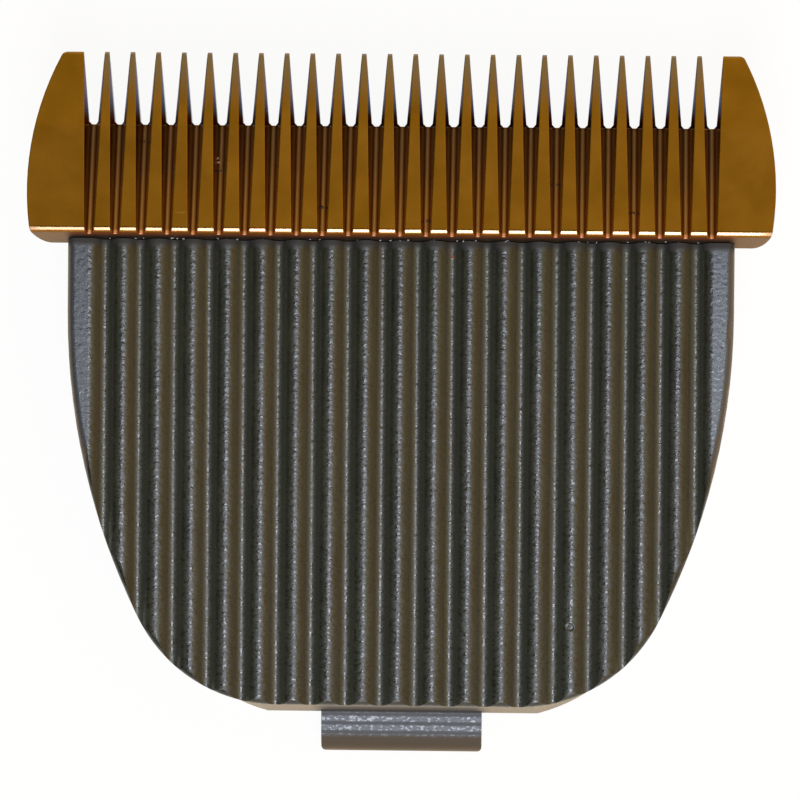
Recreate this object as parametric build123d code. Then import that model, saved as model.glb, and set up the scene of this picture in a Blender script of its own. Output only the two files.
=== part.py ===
"""Clip-on blade set of a hair clipper, in millimetres.

+X runs along the row of teeth, +Y points at the tooth tips and +Z out of the reeded face.
The set lies on the open back of its carrier at Z = 0, with the origin under the middle of its box.
"""
from build123d import *
import os
from math import atan2, cos, radians, sin, sqrt, tan

# Comb: fixed blade, a wedge that thins towards the tips
COMB_WIDTH = 45.7
COMB_RUN = 11.06
COMB_SLOPE = 15.0
TIP_THICKNESS = 0.2
TIP_BEVEL = 0.12
REAR_WALL_LEAN = 12.3
REAR_EDGE_RADIUS = 0.35
COMB_END_RADIUS = 17.5
WIDEST_FROM_TIPS = 8.1
COMB_CORNER_RADIUS = 1.2
GUARD_TIP_RADIUS = 0.4

# Teeth of the comb: round-bottomed flutes that break through the cutting face
TOOTH_COUNT = 24
TOOTH_PITCH = 1.581
TOOTH_TIP_WIDTH = 0.27
GAP_LENGTH = 4.45
GAP_ROOT_WIDTH = 0.58
GAP_ROOT_BEVEL = 0.17
FLUTE_HALF_ANGLE = 14.5
FLUTE_BOTTOM_RADIUS = 0.195
FLUTE_REAR_DEPTH = 0.6

# Carrier: moulded shell with a reeded face
CARRIER_WIDTH = 41.4
CARRIER_LENGTH = 28.46
CARRIER_HEIGHT = 11.4
SIDE_RADIUS = 42.1
SIDE_TURN = 26.7
LOWER_CORNER_RADIUS = 9.8
DRAFT = 1.5
WALL = 1.6
FACE_THICKNESS = 1.9
EDGE_RADIUS = 0.45
SEAT_STEP = 1.7
SEAT_GAP = 0.06
LEDGE_WIDTH = 2.3
LEDGE_THICKNESS = 1.6

# Reeding of the carrier's face
RIB_COUNT = 17
RIB_PITCH = 2.125
RIB_DEPTH = 0.45
VALLEY_RADIUS = 0.5

# Toe: the lower wall's foot, which leans out past the reeded face
TOE_WIDTH = 17.1
TOE_REACH = 1.08
TOE_SHOULDER_WIDTH = 21.8
TOE_SHOULDER_RISE = 0.92
TOE_SPAN = 29.0
TOE_LEAN = 8.0
TOE_BELOW_FACE = 0.9

# Tongue that hooks under the clipper's lower edge
TONGUE_WIDTH = 10.1
TONGUE_LENGTH = 3.46
TONGUE_BASE = 0.6
TONGUE_THICKNESS = 2.0
TONGUE_DROP = 0.6
TONGUE_NOSE_RADIUS = 1.3
TONGUE_CORNER_RADIUS = 0.35

# Screw posts of the carrier and the screws that hold the comb
POST_WIDTH = 5.9
POST_LENGTH = 5.0
SCREW_INSET = 2.9
SCREW_DIAMETER = 2.0
SCREW_BITE = 1.2
SCREW_HEAD_DIAMETER = 3.6
SCREW_HEAD_HEIGHT = 1.3
SCREW_HEAD_BEVEL = 0.3
SCREW_GRIP = 4.6
SCREW_SLOT_WIDTH = 0.5
SCREW_SLOT_DEPTH = 0.6
HEAD_CLEARANCE = 0.3
SHANK_CLEARANCE = 0.1
THREAD_CLEARANCE = 0.04

# Clip beads inside the carrier's side walls
BEAD_LENGTH = 6.0
BEAD_RADIUS = 0.5
BEAD_HEIGHT = 1.5
BEAD_FROM_POST = 5.0

# Cutter: moving blade behind the comb
CUTTER_THICKNESS = 1.5
CUTTER_TIP_THICKNESS = 0.6
CUTTER_SETBACK = 0.6
CUTTER_GAP_LENGTH = 4.6
CUTTER_GAP_TIP_WIDTH = 1.28
CUTTER_GAP_ROOT_WIDTH = 0.5
CUTTER_RAIL_WIDTH = 1.0
CUTTER_RELIEF_WIDTH = 1.6
CUTTER_RELIEF_DEPTH = 0.3
CUTTER_TRAVEL = 1.2
RUNNING_CLEARANCE = 0.02
SIDE_CLEARANCE = 0.4

# Driver: plastic yoke pegged to the cutter
DRIVER_WIDTH = 19.0
DRIVER_DEPTH = 3.2
DRIVER_THICKNESS = 1.6
PEG_DIAMETER = 1.8
PEG_SPACING = 13.0
PEG_LENGTH = 1.0
PEG_CLEARANCE = 0.03
SLOT_WIDTH = 5.2
PRONG_THICKNESS = 1.9
PRONG_REACH = 5.0
PRONG_FOOT = 1.3
PRONG_CORNER_RADIUS = 1.2
DRIVER_EDGE_RADIUS = 0.4

# Spring: one bent wire, trapped in two hooks, with two arms that lie on the driver's back
WIRE_DIAMETER = 0.8
WIRE_CLEARANCE = 0.05
WIRE_BEND_RADIUS = 1.2
SPRING_LENGTH = 15.0
ARM_INSET = 2.0
HOOK_LENGTH = 3.0
HOOK_WIDTH = 2.8
HOOK_SPACING = 8.0
HOOK_LIP = 0.7
HOOK_MOUTH = 0.75

# Heights and lengths that follow from the sizes above
comb_slope = radians(COMB_SLOPE)
rear_height = TIP_THICKNESS + COMB_RUN * tan(comb_slope)
rear_slant = rear_height * tan(radians(REAR_WALL_LEAN))
seat_z = CARRIER_HEIGHT - SEAT_STEP
overall_length = COMB_RUN + rear_slant + SEAT_GAP + CARRIER_LENGTH + TONGUE_LENGTH
tip_y = overall_length / 2
rear_edge_y = tip_y - COMB_RUN
rear_foot_y = rear_edge_y - rear_slant
face_top_y = rear_foot_y - SEAT_GAP
face_bottom_y = face_top_y - CARRIER_LENGTH
post_front_y = face_top_y + POST_LENGTH
ledge_front_y = face_top_y + LEDGE_WIDTH
post_inner_x = CARRIER_WIDTH / 2 - POST_WIDTH
ceiling_z = CARRIER_HEIGHT - FACE_THICKNESS
ledge_z = seat_z - LEDGE_THICKNESS
screw_x = post_inner_x + SCREW_INSET
screw_y = face_top_y + POST_LENGTH / 2
cutter_top_z = seat_z - RUNNING_CLEARANCE
cutter_back_z = cutter_top_z - CUTTER_THICKNESS
cutter_tip_y = tip_y - CUTTER_SETBACK
cutter_head_y = post_front_y + SIDE_CLEARANCE
cutter_rear_y = ledge_front_y + SIDE_CLEARANCE
cutter_body_x = post_inner_x - CUTTER_TRAVEL - SIDE_CLEARANCE
driver_y = cutter_rear_y + DRIVER_DEPTH / 2
driver_back_z = cutter_back_z - DRIVER_THICKNESS
wire_z = driver_back_z - WIRE_DIAMETER / 2 - WIRE_CLEARANCE
hook_y = driver_y - SPRING_LENGTH


def prism(sketch, bottom, top):
    """Upright prism over a flat sketch, between two heights."""
    return extrude(Pos(0, 0, bottom) * sketch, amount=top - bottom, dir=(0, 0, 1))


def block(x0, x1, y0, y1, z0, z1):
    """Box between two corners."""
    return Pos((x0 + x1) / 2, (y0 + y1) / 2, (z0 + z1) / 2) * Box(x1 - x0, y1 - y0, z1 - z0)


def both_sides(solid):
    """A solid and its mirror image across the middle of the set."""
    return [solid, mirror(solid, about=Plane.YZ)]


def corners_near(sketch, y):
    """Corners of a flat sketch that lie at the given Y."""
    return [corner for corner in sketch.vertices() if abs(corner.Y - y) < 1e-6]


def make_comb():
    """Wedge with curved ends, cut by the flutes that leave the teeth standing."""
    side = Polyline(
        (tip_y, seat_z),
        (tip_y, seat_z + TIP_THICKNESS),
        (rear_edge_y, seat_z + rear_height),
        (rear_foot_y, seat_z),
        close=True,
    )
    profile = Plane.YZ * make_face(side)
    rear_corner = profile.vertices().sort_by(Axis.Z)[-1]
    profile = fillet(rear_corner, REAR_EDGE_RADIUS)
    tip_corner = profile.vertices().filter_by(lambda v: v.Z > seat_z + 1e-6).sort_by(Axis.Y)[-1]
    profile = chamfer(tip_corner, TIP_BEVEL)
    wedge = extrude(profile, amount=COMB_WIDTH / 2, both=True)

    half = COMB_WIDTH / 2
    widest_y = tip_y - WIDEST_FROM_TIPS
    arc_x = half - COMB_END_RADIUS
    tip_x = arc_x + sqrt(COMB_END_RADIUS**2 - WIDEST_FROM_TIPS**2)
    rear_x = arc_x + sqrt(COMB_END_RADIUS**2 - (widest_y - rear_foot_y) ** 2)
    outline = [
        Line((-tip_x, tip_y), (tip_x, tip_y)),
        ThreePointArc((tip_x, tip_y), (half, widest_y), (rear_x, rear_foot_y)),
        Line((rear_x, rear_foot_y), (-rear_x, rear_foot_y)),
        ThreePointArc((-rear_x, rear_foot_y), (-half, widest_y), (-tip_x, tip_y)),
    ]
    plan = make_face(Wire(outline))
    plan = fillet(corners_near(plan, rear_foot_y), COMB_CORNER_RADIUS)
    plan = fillet(corners_near(plan, tip_y), GUARD_TIP_RADIUS)
    comb = wedge & prism(plan, seat_z, seat_z + rear_height)

    comb -= flutes()
    comb -= [Pos(x, 0, 0) * tooth_gap() for x in gap_places()]
    for x in (-screw_x, screw_x):
        hole = Cylinder(
            SCREW_DIAMETER / 2 + THREAD_CLEARANCE,
            SCREW_BITE + THREAD_CLEARANCE,
            align=(Align.CENTER, Align.CENTER, Align.MIN),
        )
        comb -= Pos(x, screw_y, seat_z) * hole
    return comb


def flutes():
    """Straight round-bottomed V grooves, one on each side of every tooth, deepening towards the tips."""
    fall = atan2(rear_height - FLUTE_REAR_DEPTH, COMB_RUN - GAP_LENGTH)
    angle = radians(FLUTE_HALF_ANGLE)
    radius = FLUTE_BOTTOM_RADIUS
    top = 2 * rear_height
    top_x = (top - radius) * tan(angle) + radius / cos(angle)
    low_x = radius * cos(angle)
    low = radius - radius * sin(angle)
    section = make_face(
        Wire(
            [
                ThreePointArc((-low_x, low), (0, 0), (low_x, low)),
                Line((low_x, low), (top_x, top)),
                Line((top_x, top), (-top_x, top)),
                Line((-top_x, top), (-low_x, low)),
            ]
        )
    )
    cuts = []
    for x in gap_places():
        start = Plane(
            origin=(x, tip_y - GAP_LENGTH, seat_z),
            x_dir=(1, 0, 0),
            z_dir=(0, -cos(fall), sin(fall)),
        )
        cuts.append(extrude(start * section, amount=2 * COMB_RUN, both=True))
    return cuts


def tooth_gap():
    """Upright slot of one tooth gap, widening towards the tips, with bevelled corners at its root."""
    half = GAP_ROOT_WIDTH / 2
    mouth = (TOOTH_PITCH - TOOTH_TIP_WIDTH) / 2
    root_y = tip_y - GAP_LENGTH
    corners = [
        (-mouth, tip_y),
        (-half, root_y + GAP_ROOT_BEVEL),
        (GAP_ROOT_BEVEL - half, root_y),
        (half - GAP_ROOT_BEVEL, root_y),
        (half, root_y + GAP_ROOT_BEVEL),
        (mouth, tip_y),
    ]
    return prism(make_face(Polyline(corners, close=True)), seat_z, seat_z + rear_height)


def lower_corner():
    """Centre of the right lower corner of the carrier's outline."""
    x = CARRIER_WIDTH / 2 - SIDE_RADIUS + (SIDE_RADIUS - LOWER_CORNER_RADIUS) * cos(radians(SIDE_TURN))
    return x, face_bottom_y + LOWER_CORNER_RADIUS


def carrier_outline():
    """Shield outline at the back rim: straight sides, a long side arc, a lower corner and a flat end."""
    half = CARRIER_WIDTH / 2
    turn = radians(SIDE_TURN)
    corner_x, corner_y = lower_corner()
    side_y = corner_y + (SIDE_RADIUS - LOWER_CORNER_RADIUS) * sin(turn)
    side_x = half - SIDE_RADIUS

    def on_arc(x, y, radius, angle):
        return (x + radius * cos(angle), y - radius * sin(angle))

    joint = on_arc(side_x, side_y, SIDE_RADIUS, turn)
    corner_middle = on_arc(corner_x, corner_y, LOWER_CORNER_RADIUS, (turn + radians(90)) / 2)
    right = [
        ThreePointArc((corner_x, face_bottom_y), corner_middle, joint),
        ThreePointArc(joint, on_arc(side_x, side_y, SIDE_RADIUS, turn / 2), (half, side_y)),
        Line((half, side_y), (half, post_front_y)),
    ]
    left = [mirror(edge, about=Plane.YZ).edge() for edge in right]
    end = Line((-corner_x, face_bottom_y), (corner_x, face_bottom_y))
    front = Line((half, post_front_y), (-half, post_front_y))
    return make_face(Wire([end] + right + [front] + left))


def reeding():
    """Everything above the reeded face: rounded crests that run smoothly into tight round valleys."""
    half_pitch = RIB_PITCH / 2
    span = (half_pitch**2 + RIB_DEPTH**2) / (2 * RIB_DEPTH)
    crest_radius = span - VALLEY_RADIUS
    lean = atan2(half_pitch, span - RIB_DEPTH)
    crest_z = CARRIER_HEIGHT
    low_z = crest_z - RIB_DEPTH
    join_x = crest_radius * sin(lean)
    join_z = crest_z - crest_radius * (1 - cos(lean))
    mid_x = crest_radius * sin(lean / 2)
    mid_z = crest_z - crest_radius * (1 - cos(lean / 2))
    edges = []
    for valley in range(RIB_COUNT + 1):
        left = (valley - RIB_COUNT / 2 - 0.5) * RIB_PITCH
        right = left + RIB_PITCH
        edges += [
            ThreePointArc((left, crest_z), (left + mid_x, mid_z), (left + join_x, join_z)),
            ThreePointArc((left + join_x, join_z), (left + half_pitch, low_z), (right - join_x, join_z)),
            ThreePointArc((right - join_x, join_z), (right - mid_x, mid_z), (right, crest_z)),
        ]
    end = (RIB_COUNT + 1) / 2 * RIB_PITCH
    edges += [
        Line((end, crest_z), (end, crest_z + RIB_DEPTH)),
        Line((end, crest_z + RIB_DEPTH), (-end, crest_z + RIB_DEPTH)),
        Line((-end, crest_z + RIB_DEPTH), (-end, crest_z)),
    ]
    section = Plane.XZ * make_face(Wire(edges))
    return Pos(0, post_front_y, 0) * extrude(section, amount=POST_LENGTH + CARRIER_LENGTH + WALL)


def make_carrier():
    """Drafted shell with the reeded face, comb seat, screw posts, spring hooks, clip beads and tongue."""
    half = CARRIER_WIDTH / 2
    outline = carrier_outline()
    carrier = extrude(outline, amount=CARRIER_HEIGHT, taper=DRAFT)
    carrier = fillet(carrier.faces().sort_by(Axis.Z)[-1].edges(), EDGE_RADIUS)
    carrier += toe()
    carrier -= comb_seat()
    carrier -= reeding()

    hollow = offset(outline, amount=-WALL, kind=Kind.INTERSECTION)
    pocket = Pos(0, post_front_y) * Rectangle(2 * post_inner_x, 2 * POST_LENGTH)
    posts = Pos(0, post_front_y) * Rectangle(CARRIER_WIDTH, 2 * POST_LENGTH)
    step_wall = Pos(0, post_front_y) * Rectangle(CARRIER_WIDTH, 2 * (POST_LENGTH + WALL))
    carrier -= prism(hollow - posts + pocket, 0, ledge_z)
    carrier -= prism(hollow - step_wall, ledge_z, ceiling_z)
    carrier -= block(-post_inner_x, post_inner_x, ledge_front_y, post_front_y, 0, CARRIER_HEIGHT)

    for x in (-screw_x, screw_x):
        carrier -= Pos(x, screw_y, seat_z / 2) * Cylinder(SCREW_DIAMETER / 2 + SHANK_CLEARANCE, seat_z)
        recess = seat_z - SCREW_GRIP
        carrier -= Pos(x, screw_y, recess / 2) * Cylinder(SCREW_HEAD_DIAMETER / 2 + HEAD_CLEARANCE, recess)

    bead = Rotation(90, 0, 0) * Cylinder(BEAD_RADIUS, BEAD_LENGTH)
    bead_y = face_top_y - BEAD_FROM_POST
    carrier += both_sides(Pos(half - WALL, bead_y, BEAD_HEIGHT) * bead)
    carrier += both_sides(spring_hook())
    carrier += tongue()
    return carrier


def comb_seat():
    """Space of the comb on the carrier: a flat seat and a step that leans with the comb's rear wall."""
    lean = SEAT_STEP * tan(radians(REAR_WALL_LEAN))
    side = Polyline(
        (face_top_y, seat_z),
        (post_front_y, seat_z),
        (post_front_y, CARRIER_HEIGHT),
        (face_top_y + lean, CARRIER_HEIGHT),
        close=True,
    )
    return extrude(Plane.YZ * make_face(side), amount=CARRIER_WIDTH / 2, both=True)


def toe():
    """Foot of the lower wall: a flat end with rounded shoulders, leaning in as it rises."""
    corner_x, corner_y = lower_corner()
    end_y = face_bottom_y - TOE_REACH
    flat = TOE_WIDTH / 2
    shoulder = (TOE_SHOULDER_WIDTH / 2, end_y + TOE_SHOULDER_RISE)
    span = TOE_SPAN / 2
    meet = (span, corner_y - sqrt(LOWER_CORNER_RADIUS**2 - (span - corner_x) ** 2))
    right = ThreePointArc((flat, end_y), shoulder, meet)
    edges = [
        Line((-flat, end_y), (flat, end_y)),
        right,
        Line(meet, (-meet[0], meet[1])),
        mirror(right, about=Plane.YZ).edge(),
    ]
    return extrude(make_face(Wire(edges)), amount=CARRIER_HEIGHT - TOE_BELOW_FACE, taper=TOE_LEAN)


def spring_hook():
    """Block under the face with a round seat for the wire, entered through a narrower mouth."""
    foot = wire_z - WIRE_DIAMETER / 2 - HOOK_LIP
    x = HOOK_SPACING / 2
    hook = block(
        x - HOOK_LENGTH / 2,
        x + HOOK_LENGTH / 2,
        hook_y - HOOK_WIDTH / 2,
        hook_y + HOOK_WIDTH / 2,
        foot,
        ceiling_z,
    )
    seat = Rotation(0, 90, 0) * Cylinder(WIRE_DIAMETER / 2 + WIRE_CLEARANCE, HOOK_LENGTH)
    hook -= Pos(x, hook_y, wire_z) * seat
    hook -= block(
        x - HOOK_LENGTH / 2,
        x + HOOK_LENGTH / 2,
        hook_y - HOOK_MOUTH / 2,
        hook_y + HOOK_MOUTH / 2,
        foot,
        wire_z,
    )
    return hook


def tongue():
    """Short lip below the face, sloping down to a rounded nose."""
    root_y = face_bottom_y + WALL / 2
    end_y = face_bottom_y - TONGUE_LENGTH
    top = TONGUE_BASE + TONGUE_THICKNESS
    side = Polyline(
        (root_y, TONGUE_BASE),
        (end_y, TONGUE_BASE),
        (end_y, top - TONGUE_DROP),
        (root_y, top),
        close=True,
    )
    profile = Plane.YZ * make_face(side)
    nose = profile.vertices().filter_by(lambda v: v.Z > TONGUE_BASE + 1e-6).sort_by(Axis.Y)[0]
    profile = fillet(nose, TONGUE_NOSE_RADIUS)
    lip = extrude(profile, amount=TONGUE_WIDTH / 2, both=True)
    plan = Pos(0, (root_y + end_y) / 2) * Rectangle(TONGUE_WIDTH, root_y - end_y)
    plan = fillet(corners_near(plan, end_y), TONGUE_CORNER_RADIUS)
    return lip & prism(plan, TONGUE_BASE, top)


def make_cutter():
    """T-shaped steel plate with tapered tooth gaps, a relief across its lapped face and two peg holes."""
    side = Polyline(
        (cutter_tip_y, cutter_top_z),
        (cutter_rear_y, cutter_top_z),
        (cutter_rear_y, cutter_back_z),
        (cutter_head_y, cutter_back_z),
        (cutter_tip_y, cutter_top_z - CUTTER_TIP_THICKNESS),
        close=True,
    )
    head_x = (TOOTH_COUNT * TOOTH_PITCH - CUTTER_GAP_ROOT_WIDTH) / 2
    plate = extrude(Plane.YZ * make_face(side), amount=head_x, both=True)
    head_depth = cutter_tip_y - cutter_head_y
    head = Pos(0, cutter_head_y + head_depth / 2) * Rectangle(2 * head_x, head_depth)
    body_depth = cutter_tip_y - cutter_rear_y
    body = Pos(0, cutter_rear_y + body_depth / 2) * Rectangle(2 * cutter_body_x, body_depth)
    cutter = plate & prism(head + body, cutter_back_z, cutter_top_z)

    cutter -= [Pos(x, 0, 0) * cutter_gap() for x in gap_places()]
    relief_y = cutter_rear_y + CUTTER_RAIL_WIDTH
    cutter -= block(
        -head_x,
        head_x,
        relief_y,
        relief_y + CUTTER_RELIEF_WIDTH,
        cutter_top_z - CUTTER_RELIEF_DEPTH,
        cutter_top_z,
    )
    for x in (-PEG_SPACING / 2, PEG_SPACING / 2):
        hole = Cylinder(PEG_DIAMETER / 2 + PEG_CLEARANCE, 2 * CUTTER_THICKNESS)
        cutter -= Pos(x, driver_y, cutter_back_z) * hole
    return cutter


def gap_places():
    """X of each tooth gap, the open one beyond each end tooth included."""
    return [(place - TOOTH_COUNT / 2) * TOOTH_PITCH for place in range(TOOTH_COUNT + 1)]


def cutter_gap():
    """Tapered slot between two cutter teeth, with a square root."""
    root = CUTTER_GAP_ROOT_WIDTH / 2
    root_y = cutter_tip_y - CUTTER_GAP_LENGTH
    mouth = CUTTER_GAP_TIP_WIDTH / 2
    corners = [(-mouth, cutter_tip_y), (-root, root_y), (root, root_y), (mouth, cutter_tip_y)]
    return prism(make_face(Polyline(corners, close=True)), cutter_back_z, cutter_top_z)


def make_driver():
    """Yoke on the cutter's back: bar with two pegs and a fork for the eccentric."""
    bar = Pos(0, driver_y) * RectangleRounded(DRIVER_WIDTH, DRIVER_DEPTH, DRIVER_EDGE_RADIUS)
    driver = prism(bar, driver_back_z, cutter_back_z)

    front_y = driver_y + DRIVER_DEPTH / 2
    rear_y = driver_y - PRONG_REACH
    side = Polyline(
        (front_y, cutter_back_z),
        (front_y, PRONG_FOOT + DRIVER_DEPTH),
        (driver_y, PRONG_FOOT),
        (rear_y, PRONG_FOOT),
        (rear_y, PRONG_FOOT + PRONG_REACH / 2),
        (driver_y - DRIVER_DEPTH / 2, cutter_back_z),
        close=True,
    )
    profile = Plane.YZ * make_face(side)
    lower = profile.vertices().filter_by(lambda v: v.Z < driver_back_z)
    profile = fillet(lower, PRONG_CORNER_RADIUS)
    prong = Pos(SLOT_WIDTH / 2, 0, 0) * extrude(profile, amount=PRONG_THICKNESS)
    driver += both_sides(prong)

    for x in (-PEG_SPACING / 2, PEG_SPACING / 2):
        peg = Cylinder(PEG_DIAMETER / 2, PEG_LENGTH, align=(Align.CENTER, Align.CENTER, Align.MIN))
        driver += Pos(x, driver_y, cutter_back_z) * peg
    return driver


def make_spring():
    """Bail of round wire: a cross bar in the hooks and two arms that end on the driver."""
    arm_x = DRIVER_WIDTH / 2 - ARM_INSET
    left = [(-arm_x, driver_y)]
    for turn in (0, radians(45), radians(90)):
        bend_x = -arm_x + WIRE_BEND_RADIUS * (1 - cos(turn))
        left.append((bend_x, hook_y + WIRE_BEND_RADIUS * (1 - sin(turn))))
    right = [(-x, y) for x, y in reversed(left)]
    path = Polyline([(x, y, wire_z) for x, y in left + right])
    section = Plane(origin=path @ 0, z_dir=path % 0) * Circle(WIRE_DIAMETER / 2)
    return sweep(section, path=path, transition=Transition.RIGHT)


def make_screws():
    """Two slotted screws that come up through the posts and bite into the comb."""
    head_z = seat_z - SCREW_GRIP
    shank_length = SCREW_GRIP + SCREW_BITE - THREAD_CLEARANCE
    shank = Cylinder(SCREW_DIAMETER / 2, shank_length, align=(Align.CENTER, Align.CENTER, Align.MIN))
    head = Cylinder(
        SCREW_HEAD_DIAMETER / 2,
        SCREW_HEAD_HEIGHT,
        align=(Align.CENTER, Align.CENTER, Align.MAX),
    )
    head = chamfer(head.edges().sort_by(Axis.Z)[0], SCREW_HEAD_BEVEL)
    slot_z = -SCREW_HEAD_HEIGHT + SCREW_SLOT_DEPTH / 2
    head -= Pos(0, 0, slot_z) * Box(SCREW_HEAD_DIAMETER, SCREW_SLOT_WIDTH, SCREW_SLOT_DEPTH)
    screw = shank + head
    return Compound(children=[Pos(x, screw_y, head_z) * screw for x in (-screw_x, screw_x)])


os.makedirs("parts", exist_ok=True)
export_step(make_comb(), "parts/comb_blade.step")
export_step(make_carrier(), "parts/blade_carrier.step")
export_step(make_cutter(), "parts/cutter_blade.step")
export_step(make_driver(), "parts/cutter_driver.step")
export_step(make_spring(), "parts/tension_spring.step")
export_step(make_screws(), "parts/comb_screws.step")
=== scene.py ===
"""Looks of the clipper blade set: finishes, studio and camera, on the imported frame."""

import math

import bpy
import numpy as np
from mathutils import Matrix


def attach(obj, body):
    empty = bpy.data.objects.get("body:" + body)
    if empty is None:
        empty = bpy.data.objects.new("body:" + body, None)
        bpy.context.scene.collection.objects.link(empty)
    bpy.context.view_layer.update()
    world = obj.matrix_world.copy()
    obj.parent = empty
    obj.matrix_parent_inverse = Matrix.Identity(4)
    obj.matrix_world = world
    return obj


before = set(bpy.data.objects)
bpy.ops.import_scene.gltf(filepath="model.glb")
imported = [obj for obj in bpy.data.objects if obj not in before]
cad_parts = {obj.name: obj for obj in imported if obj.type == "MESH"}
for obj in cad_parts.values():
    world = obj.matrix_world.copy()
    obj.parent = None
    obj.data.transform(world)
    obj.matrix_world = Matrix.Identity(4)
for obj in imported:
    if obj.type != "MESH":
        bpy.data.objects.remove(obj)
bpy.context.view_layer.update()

MM = 0.001

# Places on the set that the finishes follow, in mm, worked out from the part's sizes and rounded.
TONGUE_ROOT_Y = -19.26
TONGUE_HALF = 5.05
REEDED_HALF = 19.0
RIB_PITCH = 2.125
CARRIER_HALF = 20.2
GAP_ROOT_Y = 17.415
REAR_FOOT_Y = 10.115
SEAT_Z = 9.7
REAR_EDGE_Z = 12.78
FACE_Z = 11.4
SEAM_Y = 10.46
TIP_Y = 21.865
GUARD_X = 22.85
ROW_HALF = 18.9
SCREW_X = 17.7
SCREW_Y = 12.555
TOOTH_PITCH = 1.581

# Fall of a flute's floor, in mm for each mm towards the tips.
FLUTE_FALL = 0.3877

# The tongue's drawn ridges, in mm: their pitch, and the Y of the middle of one lit slope.
TONGUE_WAVE = 0.57
TONGUE_LIT_Y = -19.726

# The tongue's own finish is used below this height, in mm, a little above its top.
TONGUE_CLEAR_Z = 3.0

# The middle flute's place in the row, counted from 0, and the number of grains along the seam.
MIDDLE_FLUTE = 12
SEAM_GRAINS = 40

# Small marks, in mm: a scratch on one land, a dent in one crest and a red speck on one rib.
SCRATCH = (-13.37, 12.02, 12.5)
DENT = (10.57, -13.13, 11.4)
RED_SPECK = (3.21, 9.45, 11.2)

# Camera, from the fit of the comb's teeth, flutes and ribs to the picture.
CAMERA_PLACE = (10.347, 10.5005, 330.8691)
CAMERA_YAW = -1.8465
CAMERA_PITCH = 1.7612
CAMERA_ROLL = -0.4823
CAMERA_LENS = 235.21
CAMERA_SENSOR = 36.0

# Softbox, in metres, with its light's radiance.
BOX_WIDTH = 0.17
BOX_X = 0.02
BOX_NEAR_Y = -0.018
BOX_FAR_Y = -0.55
BOX_HEIGHT = 0.5
BOX_RADIANCE = 11.5

FLOOR_HALF = 3.0
FLOOR_GLOW = 0.92

# The room that the set mirrors, from -1 to 1 of a direction's Y near the middle and of its X to the sides.
ROOM_ALONG = [
    (0.1, (1.0, 0.76, 0.5, 1.0)), (0.3, (0.6, 0.45, 0.3, 1.0)), (0.47, (0.22, 0.19, 0.15, 1.0)),
    (0.52, (0.06, 0.05, 0.03, 1.0)), (0.66, (0.06, 0.05, 0.03, 1.0)), (0.72, (0.77, 0.73, 0.5, 1.0)),
    (0.8, (0.77, 0.73, 0.5, 1.0)), (0.88, (0.95, 0.84, 0.65, 1.0)),
]
ROOM_ACROSS = [
    (0.0, (0.8, 0.8, 0.66, 1.0)), (0.02, (0.2, 0.2, 0.17, 1.0)), (0.04, (0.02, 0.02, 0.015, 1.0)),
    (0.1, (0.02, 0.02, 0.015, 1.0)), (0.17, (0.16, 0.16, 0.14, 1.0)), (0.215, (0.38, 0.38, 0.34, 1.0)),
    (0.27, (0.3, 0.3, 0.26, 1.0)), (0.42, (0.05, 0.05, 0.04, 1.0)), (0.56, (1.08, 0.98, 0.83, 1.0)),
    (0.68, (1.5, 1.22, 0.8, 1.0)), (0.8, (1.05, 0.72, 0.3, 1.0)), (0.9, (0.73, 0.47, 0.19, 1.0)),
    (1.0, (0.66, 0.41, 0.16, 1.0)),
]


def linear(code):
    """A colour written as an sRGB hex code, as linear RGBA."""
    srgb = [int(code[i:i + 2], 16) / 255 for i in (1, 3, 5)]
    return (*[c / 12.92 if c <= 0.04045 else ((c + 0.055) / 1.055) ** 2.4 for c in srgb], 1.0)


def per_mm(size):
    """The texture scale at which a pattern's grain is that many mm across."""
    return 1.0 / (size * MM)


def fill(tree, target, inputs):
    """Links an input of the target node where a socket is given, and sets it where a value is."""
    for key, value in inputs.items():
        if isinstance(value, bpy.types.NodeSocket):
            tree.links.new(value, target.inputs[key])
        else:
            target.inputs[key].default_value = value


def node(tree, kind, inputs=None, stops=None, **settings):
    """Adds a node, sets its properties, fills its inputs, and places a ramp's colours."""
    made = tree.nodes.new(kind)
    for name, value in settings.items():
        setattr(made, name, value)
    fill(tree, made, inputs or {})
    if stops:
        marks = made.color_ramp.elements
        while len(marks) < len(stops):
            marks.new(0.5)
        for mark, (place, colour) in zip(marks, stops):
            mark.position = place
            mark.color = colour
    return made


def material(name):
    """A new material with its node tree, its principled shader and the object's own coordinates."""
    made = bpy.data.materials.new(name)
    made.use_nodes = True
    tree = made.node_tree
    shader = tree.nodes["Principled BSDF"]
    place = tree.nodes.new("ShaderNodeTexCoord").outputs["Object"]
    return made, tree, shader, place


def spot(tree, place, centre, size):
    """A soft mask, 1 at the centre and 0 beyond the size, both in mm: the length of the scaled offset,
    turned over."""
    offset = node(tree, "ShaderNodeVectorMath", {0: place, 1: [value * MM for value in centre]},
                  operation="SUBTRACT")
    scaled = node(tree, "ShaderNodeVectorMath",
                  {0: offset.outputs[0], 1: [per_mm(value) for value in size]},
                  operation="MULTIPLY")
    reach = node(tree, "ShaderNodeVectorMath", {0: scaled.outputs[0]}, operation="LENGTH")
    return node(tree, "ShaderNodeMapRange",
                {"Value": reach.outputs["Value"], "From Min": 1.0, "From Max": 0.5},
                interpolation_type="SMOOTHSTEP").outputs[0]


def band(tree, value, low, high):
    """A smooth step from 0 to 1 as the value goes from low to high."""
    return node(tree, "ShaderNodeMapRange", {"Value": value, "From Min": low, "From Max": high},
                interpolation_type="SMOOTHSTEP").outputs[0]


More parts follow.
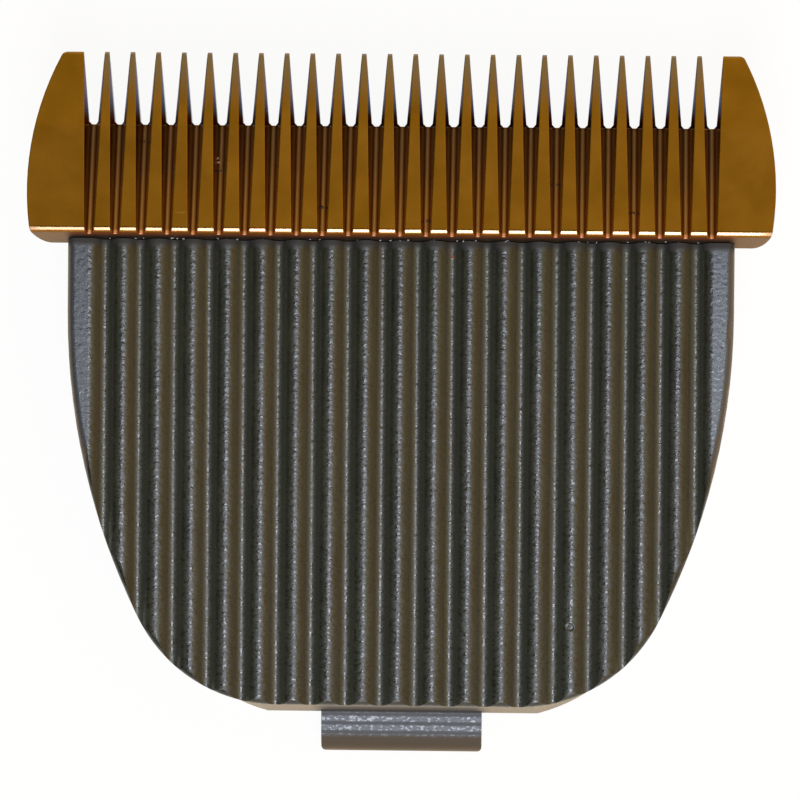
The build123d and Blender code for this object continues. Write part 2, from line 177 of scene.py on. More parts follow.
def coated_steel():
    """The comb's ground steel under a thin gold-brown hard coating, applied in vacuum after grinding. The
    eye sees an even satin bronze, greyer flute bottoms with a painted highlight where each flute runs out,
    a pale line along the rear edge painted paler where the highlight falls, a brown stain on the wall below
    it with painted shade that darkens it low down and leaves its ends lighter, tips rubbed paler, and bare
    bluish steel on the flanks of the teeth, with painted shade darkening them towards the roots of the
    gaps."""
    made, tree, shader, place = material("coated_steel")
    normal = node(tree, "ShaderNodeSeparateXYZ",
                  {0: node(tree, "ShaderNodeNewGeometry").outputs["Normal"]}).outputs
    where = node(tree, "ShaderNodeSeparateXYZ", {0: place}).outputs
    cloud = node(tree, "ShaderNodeTexNoise", {"Vector": place, "Scale": per_mm(2.5), "Detail": 3.0})
    tone = node(tree, "ShaderNodeValToRGB", {"Fac": cloud.outputs["Fac"]},
                [(0.3, linear("#895D13")), (0.7, linear("#9C6B1F"))])
    aside = node(tree, "ShaderNodeMath", {0: where["X"]}, operation="ABSOLUTE").outputs[0]
    tip = node(tree, "ShaderNodeMath",
               {0: band(tree, where["Y"], (GAP_ROOT_Y + 0.9) * MM, TIP_Y * MM),
                1: band(tree, aside, (ROW_HALF + 0.3) * MM, ROW_HALF * MM)}, operation="MULTIPLY")
    rubbed = node(tree, "ShaderNodeMix",
                  {"Factor": tip.outputs[0], "A": tone.outputs["Color"], "B": linear("#8B7559")},
                  data_type="RGBA")
    side = node(tree, "ShaderNodeMath", {0: normal["X"]}, operation="ABSOLUTE")
    flank = band(tree, side.outputs[0], 0.6, 0.8)
    open_end = band(tree, where["Y"], (GAP_ROOT_Y - 0.3) * MM, (GAP_ROOT_Y + 1.2) * MM)
    bare = node(tree, "ShaderNodeMath", {0: flank, 1: open_end}, operation="MULTIPLY")
    steel = node(tree, "ShaderNodeMix",
                 {"Factor": bare.outputs[0], "A": rubbed.outputs["Result"], "B": linear("#8E8C96")},
                 data_type="RGBA")
    bottom = band(tree, normal["Y"], 0.25, 0.31)
    rear = band(tree, where["Y"], (GAP_ROOT_Y - 1.0) * MM, (REAR_FOOT_Y + 1.0) * MM)
    film = node(tree, "ShaderNodeMix",
                {"Factor": rear, "A": linear("#806440"), "B": linear("#A67A3E")}, data_type="RGBA")
    # Painted highlight: the last part of each flute's floor at the rear edge is painted bright peach, as
    # the glint where the flute runs out.
    painted_glint_drop = node(tree, "ShaderNodeMix",
                {"Factor": band(tree, where["Y"], (REAR_FOOT_Y + 0.9) * MM, (REAR_FOOT_Y + 0.72) * MM),
                 "A": film.outputs["Result"], "B": linear("#F0B080")}, data_type="RGBA")
    closed = node(tree, "ShaderNodeMath",
                  {0: bottom, 1: band(tree, where["Y"], GAP_ROOT_Y * MM, (GAP_ROOT_Y - 0.2) * MM)},
                  operation="MULTIPLY")
    floor = node(tree, "ShaderNodeMix",
                 {"Factor": closed.outputs[0], "A": steel.outputs["Result"], "B": painted_glint_drop.outputs["Result"]},
                 data_type="RGBA")
    # Painted highlight: the rear edge's fillet is painted paler where the softbox's highlight falls, which
    # whitens that highlight.
    crown = node(tree, "ShaderNodeMath",
                 {0: band(tree, normal["Y"], 0.16, 0.0), 1: band(tree, normal["Y"], -0.7, -0.4)},
                 operation="MULTIPLY")
    painted_pale_edge = node(tree, "ShaderNodeMath",
                {0: crown.outputs[0],
                 1: band(tree, where["Z"], (REAR_EDGE_Z - 0.4) * MM, (REAR_EDGE_Z - 0.25) * MM)},
                operation="MULTIPLY")
    edge = node(tree, "ShaderNodeMix",
                {"Factor": painted_pale_edge.outputs[0], "A": floor.outputs["Result"], "B": linear("#B28C68")},
                data_type="RGBA")
    # A brown stain on the rear wall, with painted shade: darker where the wall drops towards the carrier's
    # face, and lighter at the ends beyond the carrier.
    wall = band(tree, normal["Y"], -0.75, -0.92)
    stain_and_shade = node(tree, "ShaderNodeMix",
                 {"Factor": band(tree, where["Z"], (FACE_Z + 0.2) * MM, (FACE_Z + 1.1) * MM),
                  "A": linear("#24180D"), "B": linear("#64320F")}, data_type="RGBA")
    unshaded_ends = node(tree, "ShaderNodeMix",
                 {"Factor": band(tree, aside, (CARRIER_HALF - 0.2) * MM, (CARRIER_HALF + 0.5) * MM),
                  "A": stain_and_shade.outputs["Result"], "B": linear("#77572C")}, data_type="RGBA")
    wall_stain_and_shade = node(tree, "ShaderNodeMix",
                   {"Factor": wall, "A": edge.outputs["Result"], "B": unshaded_ends.outputs["Result"]},
                   data_type="RGBA")
    scratch = spot(tree, place, SCRATCH, (0.42, 0.05, 0.6))
    colour = node(tree, "ShaderNodeMix",
                  {"Factor": scratch, "A": wall_stain_and_shade.outputs["Result"], "B": linear("#A57E42")},
                  data_type="RGBA")
    # Grinding lines are finer than a pixel. To show, they are drawn 0.06 mm wide and 1 mm long.
    stretch = node(tree, "ShaderNodeMapping", {"Vector": place, "Scale": (1.0, 0.06, 1.0)})
    grain = node(tree, "ShaderNodeTexNoise",
                 {"Vector": stretch.outputs[0], "Scale": per_mm(0.06), "Detail": 2.0})
    satin = node(tree, "ShaderNodeMapRange",
                 {"Value": grain.outputs["Fac"], "From Min": 0.3, "From Max": 0.7, "To Min": 0.2,
                  "To Max": 0.26})
    corner = node(tree, "ShaderNodeMath",
                  {0: painted_pale_edge.outputs[0], 1: band(tree, aside, (GUARD_X - 1.3) * MM, (GUARD_X - 0.2) * MM)},
                  operation="MULTIPLY")
    filmy = node(tree, "ShaderNodeMath", {0: closed.outputs[0], 1: corner.outputs[0]}, operation="MAXIMUM")
    matt = node(tree, "ShaderNodeMath", {0: filmy.outputs[0], 1: wall}, operation="MAXIMUM")
    rough = node(tree, "ShaderNodeMix", {"Factor": matt.outputs[0], "A": satin.outputs[0], "B": 0.55})
    bright = node(tree, "ShaderNodeMapRange", {"Value": wall, "To Min": 1.0, "To Max": 0.0})
    soft = node(tree, "ShaderNodeBevel", {"Radius": 0.09 * MM}, samples=6)
    bump = node(tree, "ShaderNodeBump",
                {"Height": grain.outputs["Fac"], "Strength": 0.3, "Distance": 0.002 * MM,
                 "Normal": soft.outputs[0]})
    # Painted shade: the flanks' specular tint runs from dark at the roots of the gaps to lilac-grey along
    # the open teeth.
    shade = node(tree, "ShaderNodeMix",
                 {"Factor": band(tree, where["Y"], (GAP_ROOT_Y - 0.2) * MM, (GAP_ROOT_Y + 2.2) * MM),
                  "A": linear("#2A1A10"), "B": linear("#9C9CAA")}, data_type="RGBA")
    within = node(tree, "ShaderNodeMath",
                  {0: flank, 1: band(tree, where["Y"], (GAP_ROOT_Y - 0.15) * MM, (GAP_ROOT_Y + 0.05) * MM)},
                  operation="MULTIPLY")
    walls = node(tree, "ShaderNodeMix",
                 {"Factor": within.outputs[0], "A": linear("#FFFFFF"), "B": shade.outputs["Result"]},
                 data_type="RGBA")
    fill(tree, shader,
         {"Base Color": colour.outputs["Result"], "Specular Tint": walls.outputs["Result"],
          "Metallic": bright.outputs[0], "Specular IOR Level": 0.25, "Roughness": rough.outputs["Result"],
          "Normal": bump.outputs[0]})
    return made


def carrier_plastic():
    """Dark grey filled plastic, moulded in a spark-eroded tool. The eye sees a gritty grain that breaks the
    highlights of the ribs into beads, a lighter grey in the grooves, the borders' rounded edges painted
    warm brown as a painted reflection, a coarser glitter on the ridges of the tongue, a tan film of dust on
    the outer walls where they are seen aslant, thinned behind the tongue as painted shade, and dark grime
    with painted shade along the seam with the comb and at the tongue's root."""
    made, tree, shader, place = material("carrier_plastic")
    where = node(tree, "ShaderNodeSeparateXYZ", {0: place}).outputs
    facing = node(tree, "ShaderNodeNewGeometry").outputs["Normal"]
    normal = node(tree, "ShaderNodeSeparateXYZ", {0: facing}).outputs
    aside = node(tree, "ShaderNodeMath", {0: where["X"]}, operation="ABSOLUTE").outputs[0]
    # The dot product of place and normal is large where a wall faces away from the middle of the set.
    outward = node(tree, "ShaderNodeVectorMath", {0: place, 1: facing},
                   operation="DOT_PRODUCT").outputs["Value"]
    steep = node(tree, "ShaderNodeMath",
                 {0: band(tree, normal["Z"], 0.55, 0.1), 1: band(tree, outward, 3.0 * MM, 6.0 * MM)},
                 operation="MULTIPLY").outputs[0]
    middle = node(tree, "ShaderNodeMath",
                  {0: band(tree, aside, (TONGUE_HALF + 0.1) * MM, TONGUE_HALF * MM),
                   1: band(tree, normal["Z"], 0.1, 0.3)}, operation="MULTIPLY")
    outer = node(tree, "ShaderNodeMath",
                 {0: band(tree, where["Z"], (TONGUE_CLEAR_Z + 0.2) * MM, (TONGUE_CLEAR_Z - 0.2) * MM),
                  1: band(tree, where["Y"], (TONGUE_ROOT_Y + 0.4) * MM, (TONGUE_ROOT_Y + 0.3) * MM)},
                 operation="MULTIPLY")
    tongue = node(tree, "ShaderNodeMath", {0: middle.outputs[0], 1: outer.outputs[0]},
                  operation="MULTIPLY").outputs[0]
    cloud = node(tree, "ShaderNodeTexNoise", {"Vector": place, "Scale": per_mm(3.0), "Detail": 4.0})
    tone = node(tree, "ShaderNodeValToRGB", {"Fac": cloud.outputs["Fac"]},
                [(0.3, linear("#1A1B14")), (0.7, linear("#24251B"))])
    across = node(tree, "ShaderNodeMath", {0: where["X"], 1: 2 * math.pi * per_mm(RIB_PITCH)},
                  operation="MULTIPLY")
    crest = node(tree, "ShaderNodeMath", {0: across.outputs[0]}, operation="COSINE")
    # The grooves between the ribs are lighter grey than the crests.
    groove = node(tree, "ShaderNodeMath",
                  {0: band(tree, crest.outputs[0], 0.3, -0.8), 1: band(tree, normal["Z"], 0.3, 0.6)},
                  operation="MULTIPLY")
    grooves_lighter = node(tree, "ShaderNodeMix",
                   {"Factor": groove.outputs[0], "A": tone.outputs["Color"], "B": linear("#2E2F27")},
                   data_type="RGBA")
    border = band(tree, aside, REEDED_HALF * MM, (REEDED_HALF + 0.2) * MM)
    cool = node(tree, "ShaderNodeMix",
                {"Factor": border, "A": grooves_lighter.outputs["Result"], "B": linear("#30353C")},
                data_type="RGBA")
    # Painted reflection: the rounded edges of the flat borders are painted warm brown, as the warm room
    # reflected in them.
    rim = node(tree, "ShaderNodeMath", {0: border, 1: band(tree, normal["Z"], 0.97, 0.8)},
               operation="MULTIPLY")
    rim_reflection = node(tree, "ShaderNodeMix",
                  {"Factor": rim.outputs[0], "A": cool.outputs["Result"], "B": linear("#4E4435")},
                  data_type="RGBA")
    bluish = node(tree, "ShaderNodeMix",
                  {"Factor": tongue, "A": rim_reflection.outputs["Result"], "B": linear("#1C2129")},
                  data_type="RGBA")
    dusty = node(tree, "ShaderNodeMix",
                 {"Factor": steep, "A": bluish.outputs["Result"], "B": linear("#2E2A22")}, data_type="RGBA")
    nose = node(tree, "ShaderNodeMath",
                {0: tongue,
                 1: band(tree, where["Y"], (TONGUE_ROOT_Y - 1.3) * MM, (TONGUE_ROOT_Y - 1.75) * MM)},
                operation="MULTIPLY")
    brown = node(tree, "ShaderNodeMix",
                 {"Factor": nose.outputs[0], "A": dusty.outputs["Result"], "B": linear("#3C2F1C")},
                 data_type="RGBA")
    # Dark grime and painted shade along the seam with the comb and in the crease at the tongue's root.
    seam = band(tree, where["Y"], (SEAM_Y - 0.75) * MM, (SEAM_Y - 0.2) * MM)
    crease = node(tree, "ShaderNodeMath",
                  {0: tongue,
                   1: band(tree, where["Y"], (TONGUE_ROOT_Y - 0.1) * MM, (TONGUE_ROOT_Y + 0.02) * MM)},
                  operation="MULTIPLY")
    grime_and_shade = node(tree, "ShaderNodeMath", {0: seam, 1: crease.outputs[0]}, operation="MAXIMUM").outputs[0]
    grimed_and_shaded = node(tree, "ShaderNodeMix",
                 {"Factor": grime_and_shade, "A": brown.outputs["Result"], "B": linear("#15120D")}, data_type="RGBA")
    colour = node(tree, "ShaderNodeMix",
                  {"Factor": spot(tree, place, RED_SPECK, (0.12, 0.12, 1.0)), "A": grimed_and_shaded.outputs["Result"],
                   "B": linear("#7C2A1C")}, data_type="RGBA")

    # Grit 0.3 mm across, because the beads on the ribs lie about 0.3 mm apart in the picture.
    grit = node(tree, "ShaderNodeTexNoise", {"Vector": place, "Scale": per_mm(0.3), "Detail": 2.0})
    calm = node(tree, "ShaderNodeMapRange", {"Value": grit.outputs["Fac"], "To Min": 0.3, "To Max": 0.7})
    flat = node(tree, "ShaderNodeMix", {"Factor": border, "A": grit.outputs["Fac"], "B": calm.outputs[0]})
    phase = node(tree, "ShaderNodeMath",
                 {0: where["Y"], 1: 2 * math.pi * per_mm(TONGUE_WAVE),
                  2: -2 * math.pi * TONGUE_LIT_Y / TONGUE_WAVE}, operation="MULTIPLY_ADD")
    wave = node(tree, "ShaderNodeMath", {0: phase.outputs[0]}, operation="SINE")
    waved = node(tree, "ShaderNodeMath", {0: wave.outputs[0], 1: 0.3, 2: grit.outputs["Fac"]},
                 operation="MULTIPLY_ADD")
    height = node(tree, "ShaderNodeMix",
                  {"Factor": tongue, "A": flat.outputs["Result"], "B": waved.outputs[0]})
    dented = node(tree, "ShaderNodeMath",
                  {0: spot(tree, place, DENT, (0.3, 0.3, 1.0)), 1: -2.0, 2: height.outputs["Result"]},
                  operation="MULTIPLY_ADD")
    bump = node(tree, "ShaderNodeBump",
                {"Height": dented.outputs[0], "Strength": 1.0, "Distance": 0.025 * MM})

    streak = node(tree, "ShaderNodeMapping", {"Vector": place, "Scale": (0.6, 1.0, 1.0)})
    flakes = node(tree, "ShaderNodeTexNoise",
                  {"Vector": streak.outputs[0], "Scale": per_mm(0.17), "Detail": 1.0})
    gloss = node(tree, "ShaderNodeMapRange",
                 {"Value": cloud.outputs["Fac"], "From Min": 0.3, "From Max": 0.7, "To Min": 0.26,
                  "To Max": 0.32})
    handled = node(tree, "ShaderNodeMapRange",
                   {"Value": where["Y"], "From Min": SEAM_Y * MM, "From Max": TONGUE_ROOT_Y * MM,
                    "To Min": 0.0, "To Max": 0.16})
    satin = node(tree, "ShaderNodeMath", {0: gloss.outputs[0], 1: handled.outputs[0]}, operation="ADD")
    slope = node(tree, "ShaderNodeMath", {0: phase.outputs[0]}, operation="COSINE")
    ridge = band(tree, slope.outputs[0], -0.9, 0.4)
    hollow = node(tree, "ShaderNodeMapRange", {"Value": ridge, "To Min": 0.56, "To Max": 0.43})
    blurred = node(tree, "ShaderNodeMix", {"Factor": tongue, "A": satin.outputs[0], "B": hollow.outputs[0]})
    bare = node(tree, "ShaderNodeMix", {"Factor": tongue, "A": 1.0, "B": ridge})
    glint = node(tree, "ShaderNodeMath",
                 {0: band(tree, flakes.outputs["Fac"], 0.5, 0.64), 1: bare.outputs["Result"]},
                 operation="MULTIPLY")
    shiny = node(tree, "ShaderNodeMix",
                 {"Factor": glint.outputs[0], "A": blurred.outputs["Result"], "B": 0.17})
    # Painted shade: the wall behind the tongue has a thinner dust sheen up to 4 mm, and as much as the
    # other walls from 10 mm.
    behind = node(tree, "ShaderNodeMath",
                  {0: band(tree, where["Y"], (TONGUE_ROOT_Y - 0.8) * MM, (TONGUE_ROOT_Y - 0.4) * MM),
                   1: band(tree, where["Z"], 10.0 * MM, 4.0 * MM)}, operation="MULTIPLY")
    lee = node(tree, "ShaderNodeMath",
               {0: behind.outputs[0],
                1: band(tree, aside, (TONGUE_HALF + 0.7) * MM, (TONGUE_HALF - 0.5) * MM)},
               operation="MULTIPLY")
    sheen_in_tongue_shade = node(tree, "ShaderNodeMapRange", {"Value": lee.outputs[0], "To Min": 0.66, "To Max": 0.08})
    brim = node(tree, "ShaderNodeMath", {0: nose.outputs[0], 1: band(tree, normal["Z"], 0.85, 0.4)},
                operation="MULTIPLY")
    dusted = node(tree, "ShaderNodeMath", {0: steep, 1: brim.outputs[0]}, operation="MAXIMUM")
    film = node(tree, "ShaderNodeMath", {0: dusted.outputs[0], 1: sheen_in_tongue_shade.outputs[0]}, operation="MULTIPLY")
    matt = node(tree, "ShaderNodeMath", {0: steep, 1: nose.outputs[0]}, operation="MAXIMUM")
    dull = node(tree, "ShaderNodeMath", {0: grime_and_shade, 1: matt.outputs[0]}, operation="MAXIMUM")
    rough = node(tree, "ShaderNodeMix",
                 {"Factor": dull.outputs[0], "A": shiny.outputs["Result"], "B": 0.75})
    fill(tree, shader,
         {"Base Color": colour.outputs["Result"], "Roughness": rough.outputs["Result"],
          "Normal": bump.outputs[0], "Sheen Weight": film.outputs[0], "Sheen Roughness": 0.5,
          "Sheen Tint": linear("#CCBA9C"), "Specular IOR Level": 0.7})
    return made


def ground_steel():
    """The cutter's bare steel plate, ground flat along the row of teeth. The eye sees a bright grey surface
    with straight grinding lines across it."""
    made, tree, shader, place = material("cutter_steel")
    # Grinding lines are finer than a pixel. To show, they are drawn 0.09 mm wide and 4.5 mm long.
    stretch = node(tree, "ShaderNodeMapping", {"Vector": place, "Scale": (0.02, 1.0, 1.0)})
    lines = node(tree, "ShaderNodeTexNoise",
                 {"Vector": stretch.outputs[0], "Scale": per_mm(0.09), "Detail": 3.0})
    tone = node(tree, "ShaderNodeValToRGB", {"Fac": lines.outputs["Fac"]},
                [(0.3, linear("#AEB1B5")), (0.7, linear("#CDD0D3"))])
    rough = node(tree, "ShaderNodeMapRange",
                 {"Value": lines.outputs["Fac"], "From Min": 0.3, "From Max": 0.7, "To Min": 0.22,
                  "To Max": 0.38})
    bump = node(tree, "ShaderNodeBump",
                {"Height": lines.outputs["Fac"], "Strength": 0.5, "Distance": 0.004 * MM})
    fill(tree, shader,
         {"Base Color": tone.outputs["Color"], "Roughness": rough.outputs[0], "Normal": bump.outputs[0],
          "Metallic": 1.0})
    return made


def driver_plastic():
    """Black acetal, injection moulded and slippery. The eye sees an even black with a faint moulded grain
    and soft cloudy gloss."""
    made, tree, shader, place = material("driver_plastic")
    cloud = node(tree, "ShaderNodeTexNoise", {"Vector": place, "Scale": per_mm(2.0), "Detail": 4.0})
    tone = node(tree, "ShaderNodeValToRGB", {"Fac": cloud.outputs["Fac"]},
                [(0.3, linear("#161616")), (0.7, linear("#202021"))])
    grain = node(tree, "ShaderNodeTexNoise", {"Vector": place, "Scale": per_mm(0.25), "Detail": 2.0})
    rough = node(tree, "ShaderNodeMapRange",
                 {"Value": cloud.outputs["Fac"], "From Min": 0.3, "From Max": 0.7, "To Min": 0.4,
                  "To Max": 0.52})
    bump = node(tree, "ShaderNodeBump",
                {"Height": grain.outputs["Fac"], "Strength": 0.4, "Distance": 0.015 * MM})
    fill(tree, shader,
         {"Base Color": tone.outputs["Color"], "Roughness": rough.outputs[0], "Normal": bump.outputs[0]})
    return made


def spring_wire():
    """Hard-drawn spring steel wire. The eye sees a bright grey round with fine drawing lines along it and a
    dull film where oil has dried."""
    made, tree, shader, place = material("spring_wire")
    # Drawing lines are finer than a pixel. To show, they are drawn 0.08 mm wide and 1.6 mm long.
    stretch = node(tree, "ShaderNodeMapping", {"Vector": place, "Scale": (1.0, 0.05, 1.0)})
    lines = node(tree, "ShaderNodeTexNoise",
                 {"Vector": stretch.outputs[0], "Scale": per_mm(0.08), "Detail": 2.0})
    film = node(tree, "ShaderNodeTexNoise", {"Vector": place, "Scale": per_mm(1.5), "Detail": 4.0})
    tone = node(tree, "ShaderNodeValToRGB", {"Fac": film.outputs["Fac"]},
                [(0.35, linear("#8F9092")), (0.65, linear("#BABCBE"))])
    rough = node(tree, "ShaderNodeMapRange",
                 {"Value": film.outputs["Fac"], "From Min": 0.3, "From Max": 0.7, "To Min": 0.34,
                  "To Max": 0.2})
    bump = node(tree, "ShaderNodeBump",
                {"Height": lines.outputs["Fac"], "Strength": 0.4, "Distance": 0.004 * MM})
    fill(tree, shader,
         {"Base Color": tone.outputs["Color"], "Roughness": rough.outputs[0], "Normal": bump.outputs[0],
          "Metallic": 1.0})
    return made


def screw_steel():
    """Zinc-plated turned screws. The eye sees a pale warm grey with turning rings about each screw's axis
    and a slight mottle in the plating."""
    made, tree, shader, place = material("screw_steel")
    folded = node(tree, "ShaderNodeVectorMath", {0: place}, operation="ABSOLUTE")
    arm = node(tree, "ShaderNodeVectorMath",
               {0: folded.outputs[0], 1: (SCREW_X * MM, SCREW_Y * MM, 0.0)}, operation="SUBTRACT")
    flat = node(tree, "ShaderNodeVectorMath", {0: arm.outputs[0], 1: (1.0, 1.0, 0.0)}, operation="MULTIPLY")
    radius = node(tree, "ShaderNodeVectorMath", {0: flat.outputs[0]}, operation="LENGTH")
    phase = node(tree, "ShaderNodeMath",
                 {0: radius.outputs["Value"], 1: 2 * math.pi * per_mm(0.11)}, operation="MULTIPLY")
    rings = node(tree, "ShaderNodeMath", {0: phase.outputs[0]}, operation="SINE")
    mottle = node(tree, "ShaderNodeTexNoise", {"Vector": place, "Scale": per_mm(0.7), "Detail": 4.0})
    tone = node(tree, "ShaderNodeValToRGB", {"Fac": mottle.outputs["Fac"]},
                [(0.35, linear("#A9A69C")), (0.65, linear("#CBC9C1"))])
    rough = node(tree, "ShaderNodeMapRange",
                 {"Value": mottle.outputs["Fac"], "From Min": 0.3, "From Max": 0.7, "To Min": 0.32,
                  "To Max": 0.2})
    bump = node(tree, "ShaderNodeBump",
                {"Height": rings.outputs[0], "Strength": 0.3, "Distance": 0.002 * MM})
    fill(tree, shader,
         {"Base Color": tone.outputs["Color"], "Roughness": rough.outputs[0], "Normal": bump.outputs[0],
          "Metallic": 1.0})
    return made


def dirt(name, dark, light):
    """Fine dirt left by cutting: bright filings, crumbs of oil and dust dried hard, and lint. The eye sees
    small uneven grains, mottled between a dark and a light tone, with a dull broken surface."""
    made, tree, shader, place = material(name)
    mottle = node(tree, "ShaderNodeTexNoise", {"Vector": place, "Scale": per_mm(0.07), "Detail": 2.0})
    tone = node(tree, "ShaderNodeValToRGB", {"Fac": mottle.outputs["Fac"]},
                [(0.35, linear(dark)), (0.65, linear(light))])
    rough = node(tree, "ShaderNodeMapRange",
                 {"Value": mottle.outputs["Fac"], "From Min": 0.3, "From Max": 0.7, "To Min": 0.45,
                  "To Max": 0.75})
    fill(tree, shader, {"Base Color": tone.outputs["Color"], "Roughness": rough.outputs[0]})
    return made


def lumps(name, centres, sizes, finish):
    """Closed uneven grains in one mesh. Each is an ellipsoid over latitude and longitude with radius
    1 + 0.2 sin(2 longitude + phase) cos(latitude) + 0.15 sin(3 latitude + phase), and one vertex at each
    pole."""
    rows, columns = 7, 12
    count = len(centres)
    latitude = np.linspace(-np.pi / 2, np.pi / 2, rows + 2)[1:-1]
    longitude = np.arange(columns) * 2 * np.pi / columns
    lat, lon = np.meshgrid(latitude, longitude, indexing="ij")
    ring = np.stack([np.cos(lat) * np.cos(lon), np.cos(lat) * np.sin(lon), np.sin(lat)], -1).reshape(-1, 3)
    phase = np.arange(count)[:, None] * 1.7
    lobes = 0.2 * np.sin(2 * lon.ravel() + phase) * np.cos(lat.ravel())
    swell = 1 + lobes + 0.15 * np.sin(3 * lat.ravel() + phase)
    poles = np.array([(0.0, 0.0, -1.0), (0.0, 0.0, 1.0)])
    shape = np.concatenate([ring[None] * swell[..., None], np.broadcast_to(poles, (count, 2, 3))], 1)
    points = (np.asarray(centres)[:, None] + shape * np.asarray(sizes)[:, None]) * MM

    row, column = np.meshgrid(np.arange(rows - 1), np.arange(columns), indexing="ij")
    here = (row * columns + column).ravel()
    beside = (row * columns + (column + 1) % columns).ravel()
    quads = np.stack([here, beside, beside + columns, here + columns], -1)
    first = np.arange(columns)
    last = (rows - 1) * columns + first
    south, north = rows * columns, rows * columns + 1
    caps = np.concatenate([
        np.stack([np.full(columns, south), (first + 1) % columns, first], -1),
        np.stack([np.full(columns, north), last, (rows - 1) * columns + (first + 1) % columns], -1)])
    start = np.arange(count)[:, None, None] * (rows * columns + 2)
    faces = (start + quads).reshape(-1, 4).tolist() + (start + caps).reshape(-1, 3).tolist()

    mesh = bpy.data.meshes.new(name)
    mesh.from_pydata(points.reshape(-1, 3).tolist(), [], faces)
    mesh.shade_smooth()
    mesh.materials.append(finish)
    piece = bpy.data.objects.new(name, mesh)
    bpy.context.scene.collection.objects.link(piece)
    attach(piece, "carrier")


def flute_floor(place, y):
    """The lowest point of a flute, in mm: the flute's place in the row gives X, and its fall gives Z."""
    return np.stack([(place - MIDDLE_FLUTE) * TOOTH_PITCH, y, SEAT_Z + (GAP_ROOT_Y - y) * FLUTE_FALL], -1)


def small_dirt():
    """The glinting grains along the seam, the dark crumbs in the flutes and one tuft of lint, scattered
    unevenly."""
    chance = np.random.default_rng(11)
    along = np.sort(chance.uniform(-ROW_HALF, ROW_HALF, SEAM_GRAINS))
    seam_y = SEAM_Y + chance.uniform(-0.05, 0.03, SEAM_GRAINS)
    seam_z = FACE_Z - chance.uniform(0.0, 0.2, SEAM_GRAINS)
    seam = np.stack([along, seam_y, seam_z], -1)
    grain = chance.uniform(0.03, 0.065, (SEAM_GRAINS, 3)) * (1.2, 0.8, 1.0)
    lumps("seam_dust", seam, grain, dirt("steel_dust", "#6E7680", "#B4BDC8"))

    places = np.array([2, 5, 9, 13, 18, 21])
    heights = np.array([16.35, 14.58, 12.4, 11.6, 13.9, 12.2])
    crumbs = flute_floor(places, heights) + chance.uniform(-0.06, 0.06, (6, 3)) * (1.0, 0.0, 0.0)
    lumps("flute_crumbs", crumbs, chance.uniform(0.05, 0.1, (6, 3)) * (1.0, 1.3, 0.7),
          dirt("dried_oil", "#1A1008", "#35220F"))
    tuft = flute_floor(np.array([5, 5]), np.array([15.36, 15.12])) + [(-0.2, 0.0, 0.3), (-0.14, 0.0, 0.22)]
    lumps("lint_tuft", tuft, np.array([(0.06, 0.08, 0.05), (0.09, 0.07, 0.06)]),
          dirt("lint", "#6E4C34", "#93705A"))


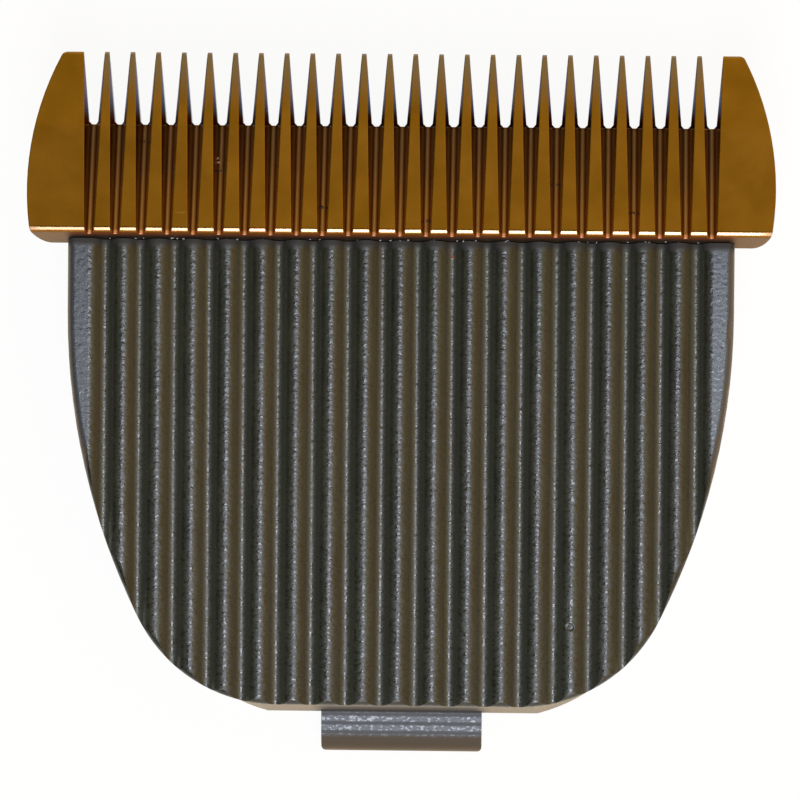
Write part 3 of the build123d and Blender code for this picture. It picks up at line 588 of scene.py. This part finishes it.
def studio():
    """The plain pale floor, the softbox above the lower end, and the room that the metal and plastic
    reflect."""
    mesh = bpy.data.meshes.new("floor")
    corners = [(-FLOOR_HALF, -FLOOR_HALF, 0.0), (FLOOR_HALF, -FLOOR_HALF, 0.0),
               (FLOOR_HALF, FLOOR_HALF, 0.0), (-FLOOR_HALF, FLOOR_HALF, 0.0)]
    mesh.from_pydata(corners, [], [(0, 1, 2, 3)])
    floor = bpy.data.objects.new("floor", mesh)
    bpy.context.scene.collection.objects.link(floor)
    paper = bpy.data.materials.new("floor_paper")
    paper.use_nodes = True
    tree = paper.node_tree
    tree.nodes.remove(tree.nodes["Principled BSDF"])
    ray = node(tree, "ShaderNodeLightPath").outputs
    either = node(tree, "ShaderNodeMath", {0: ray["Is Camera Ray"], 1: ray["Is Glossy Ray"]},
                  operation="MAXIMUM")
    seen = node(tree, "ShaderNodeMath", {0: either.outputs[0], 1: ray["Is Transmission Ray"]},
                operation="MAXIMUM")
    share = node(tree, "ShaderNodeMath", {0: seen.outputs[0], 1: FLOOR_GLOW}, operation="MULTIPLY")
    matt = node(tree, "ShaderNodeBsdfDiffuse", {"Color": linear("#F4F0EA")})
    glow = node(tree, "ShaderNodeEmission", {"Strength": 1.0})
    both = node(tree, "ShaderNodeMixShader", {0: share.outputs[0], 1: matt.outputs[0], 2: glow.outputs[0]})
    tree.links.new(both.outputs[0], tree.nodes["Material Output"].inputs["Surface"])
    floor.data.materials.append(paper)

    depth = BOX_NEAR_Y - BOX_FAR_Y
    lamp = bpy.data.lights.new("softbox", "AREA")
    lamp.shape = "RECTANGLE"
    lamp.size = BOX_WIDTH
    lamp.size_y = depth
    lamp.energy = BOX_RADIANCE * math.pi * BOX_WIDTH * depth
    lamp.color = linear("#E6EFFF")[:3]
    box = bpy.data.objects.new("softbox", lamp)
    box.location = (BOX_X, BOX_NEAR_Y - depth / 2, BOX_HEIGHT)
    bpy.context.scene.collection.objects.link(box)

    world = bpy.data.worlds.new("room")
    world.use_nodes = True
    bpy.context.scene.world = world
    tree = world.node_tree
    way = node(tree, "ShaderNodeSeparateXYZ",
               {0: node(tree, "ShaderNodeTexCoord").outputs["Generated"]}).outputs
    along = node(tree, "ShaderNodeMapRange", {"Value": way["Y"], "From Min": -1.0, "From Max": 1.0})
    across = node(tree, "ShaderNodeMapRange", {"Value": way["X"], "From Min": -1.0, "From Max": 1.0})
    front = node(tree, "ShaderNodeValToRGB", {"Fac": along.outputs[0]}, ROOM_ALONG)
    sides = node(tree, "ShaderNodeValToRGB", {"Fac": across.outputs[0]}, ROOM_ACROSS)
    reach = node(tree, "ShaderNodeMath", {0: way["X"]}, operation="ABSOLUTE")
    turn = node(tree, "ShaderNodeMapRange", {"Value": reach.outputs[0], "From Min": 0.1, "From Max": 0.4},
                interpolation_type="SMOOTHSTEP")
    room = node(tree, "ShaderNodeMix",
                {"Factor": turn.outputs[0], "A": front.outputs["Color"], "B": sides.outputs["Color"]},
                data_type="RGBA")
    back = tree.nodes["Background"]
    tree.links.new(room.outputs["Result"], back.inputs["Color"])
    back.inputs["Strength"].default_value = 1.0


def camera():
    """The camera at the picture's viewing angle: the fitted turns undone in reverse order, at the fitted
    place."""
    lens = bpy.data.cameras.new("camera")
    lens.lens = CAMERA_LENS
    lens.sensor_width = CAMERA_SENSOR
    lens.clip_start = 0.01
    lens.clip_end = 50.0
    eye = bpy.data.objects.new("camera", lens)
    turn = (Matrix.Rotation(math.radians(-CAMERA_YAW), 4, "Y")
            @ Matrix.Rotation(math.radians(-CAMERA_PITCH), 4, "X")
            @ Matrix.Rotation(math.radians(-CAMERA_ROLL), 4, "Z"))
    eye.matrix_world = Matrix.Translation([value * MM for value in CAMERA_PLACE]) @ turn
    bpy.context.scene.collection.objects.link(eye)
    bpy.context.scene.camera = eye


finishes = {
    "comb_blade": coated_steel(),
    "blade_carrier": carrier_plastic(),
    "cutter_blade": ground_steel(),
    "cutter_driver": driver_plastic(),
    "tension_spring": spring_wire(),
    "comb_screws": screw_steel(),
}
for name, finish in finishes.items():
    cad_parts[name].material_slots[0].material = finish
small_dirt()
studio()
camera()
bpy.context.scene.view_settings.view_transform = "Standard"
